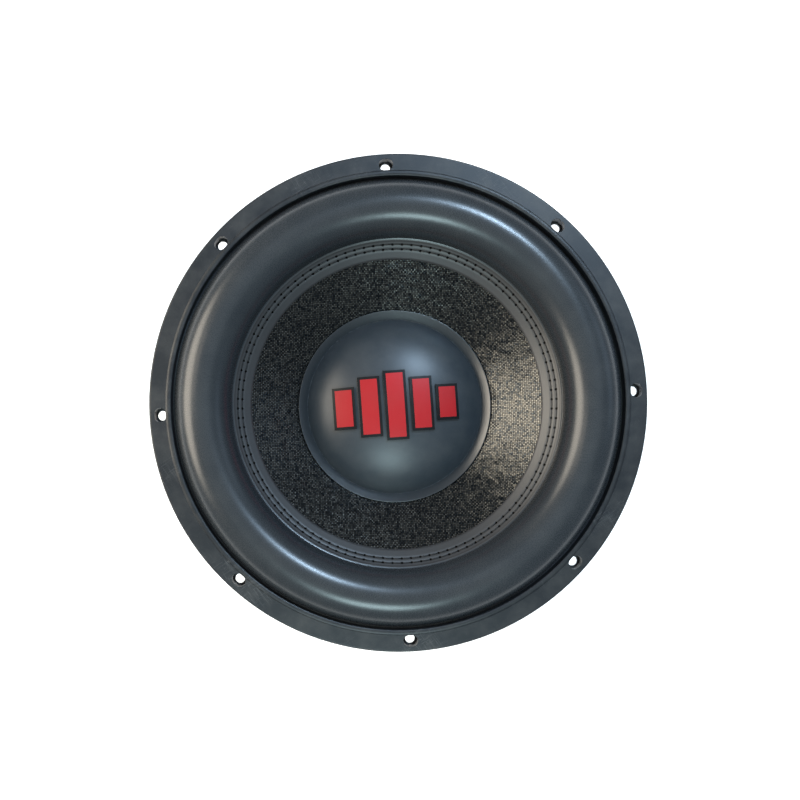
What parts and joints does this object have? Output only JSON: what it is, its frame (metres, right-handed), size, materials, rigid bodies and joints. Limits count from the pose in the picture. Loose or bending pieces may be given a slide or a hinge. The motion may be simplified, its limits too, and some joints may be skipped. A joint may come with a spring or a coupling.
{
  "type": "car subwoofer driver",
  "caption": "Round car subwoofer driver with a wide half-roll surround sewn to a woven cone, a domed dust cap with a bar badge, a pressed basket, a booted double magnet and push terminals.",
  "frame": {"origin": "centre of the mounting circle, on the flange's rear face, where the baffle is", "axes": "+Z along the cone's axis, out of the cone; +X towards the right-hand terminals"},
  "size_m": [0.312, 0.312, 0.1793],
  "materials": {
    "black_steel": "satin black powder coat",
    "trim_plastic": "satin black moulding",
    "surround_rubber": "smooth satin rubber",
    "thread": "waxed black thread",
    "woven_fibre": "fine twill weave under clear resin",
    "cap_plastic": "satin black",
    "badge_black": "semi-gloss black",
    "badge_red": "flat red",
    "former_foil": "amber-lacquered foil",
    "collar_paper": "resin-stiffened paper",
    "copper_wire": "enamelled copper, density as brass",
    "spider_cloth": "phenolic-stiffened cloth",
    "spacer_board": "matt moulding",
    "plate_steel": "black passivated steel",
    "ferrite": "ground ferrite",
    "yoke_steel": "zinc-plated forging",
    "boot_rubber": "matt rubber",
    "screen_steel": "dark plated",
    "zinc_steel": "bright zinc",
    "terminal_plastic": "black moulding",
    "plated_brass": "nickel plate",
    "button_red": "gloss red",
    "button_black": "gloss black",
    "spring_steel": "bright spring wire",
    "lug_brass": "bare brass",
    "tinsel": "woven copper tinsel"
  },
  "bodies": {
    "fixed_frame": {"basket": "black_steel", "trim_ring": "trim_plastic", "surround": "surround_rubber", "spider_upper": "spider_cloth", "spider_lower": "spider_cloth", "spider_spacer": "spacer_board", "top_plate": "plate_steel", "magnet_upper": "ferrite", "magnet_lower": "ferrite", "yoke": "yoke_steel", "magnet_boot": "boot_rubber", "vent_screen": "screen_steel", "plate_screws": "zinc_steel", "terminal_base_left": "terminal_plastic", "terminal_rivets_left": "zinc_steel", "barrel_left_positive": "plated_brass", "spring_left_positive": "spring_steel", "lug_left_positive": "lug_brass", "lead_left_positive": "tinsel", "barrel_left_negative": "plated_brass", "spring_left_negative": "spring_steel", "lug_left_negative": "lug_brass", "lead_left_negative": "tinsel", "terminal_base_right": "terminal_plastic", "terminal_rivets_right": "zinc_steel", "barrel_right_positive": "plated_brass", "spring_right_positive": "spring_steel", "lug_right_positive": "lug_brass", "lead_right_positive": "tinsel", "barrel_right_negative": "plated_brass", "spring_right_negative": "spring_steel", "lug_right_negative": "lug_brass", "lead_right_negative": "tinsel"},
    "moving_cone": {"surround_stitching": "thread", "cone": "woven_fibre", "dust_cap": "cap_plastic", "badge_border": "badge_black", "badge_face": "badge_red", "coil_former": "former_foil", "former_collar": "collar_paper", "coil_winding_inner": "copper_wire", "coil_winding_outer": "copper_wire"},
    "press_body_left_positive": {"button_left_positive": "button_red", "plunger_left_positive": "plated_brass"},
    "press_body_left_negative": {"button_left_negative": "button_black", "plunger_left_negative": "plated_brass"},
    "press_body_right_positive": {"button_right_positive": "button_red", "plunger_right_positive": "plated_brass"},
    "press_body_right_negative": {"button_right_negative": "button_black", "plunger_right_negative": "plated_brass"}
  },
  "joints": [
    {"name": "cone_stroke", "type": "slide", "parent": "fixed_frame", "child": "moving_cone", "axis": [0, 0, 1], "range_m": [-0.014, 0.014], "stiffness_N_per_m": 6500, "deforming": ["surround", "spider_upper", "spider_lower", "lead_left_positive", "lead_left_negative", "lead_right_positive", "lead_right_negative"]},
    {"name": "press_left_positive", "type": "slide", "parent": "fixed_frame", "child": "press_body_left_positive", "axis": [0.7524, 0, 0.6587], "range_m": [0, 0.003], "stiffness_N_per_m": 2500, "springref_m": -0.002, "deforming": ["spring_left_positive"]},
    {"name": "press_left_negative", "type": "slide", "parent": "fixed_frame", "child": "press_body_left_negative", "axis": [0.7524, 0, 0.6587], "range_m": [0, 0.003], "stiffness_N_per_m": 2500, "springref_m": -0.002, "deforming": ["spring_left_negative"]},
    {"name": "press_right_positive", "type": "slide", "parent": "fixed_frame", "child": "press_body_right_positive", "axis": [-0.7524, 0, 0.6587], "range_m": [0, 0.003], "stiffness_N_per_m": 2500, "springref_m": -0.002, "deforming": ["spring_right_positive"]},
    {"name": "press_right_negative", "type": "slide", "parent": "fixed_frame", "child": "press_body_right_negative", "axis": [-0.7524, 0, 0.6587], "range_m": [0, 0.003], "stiffness_N_per_m": 2500, "springref_m": -0.002, "deforming": ["spring_right_negative"]}
  ]
}
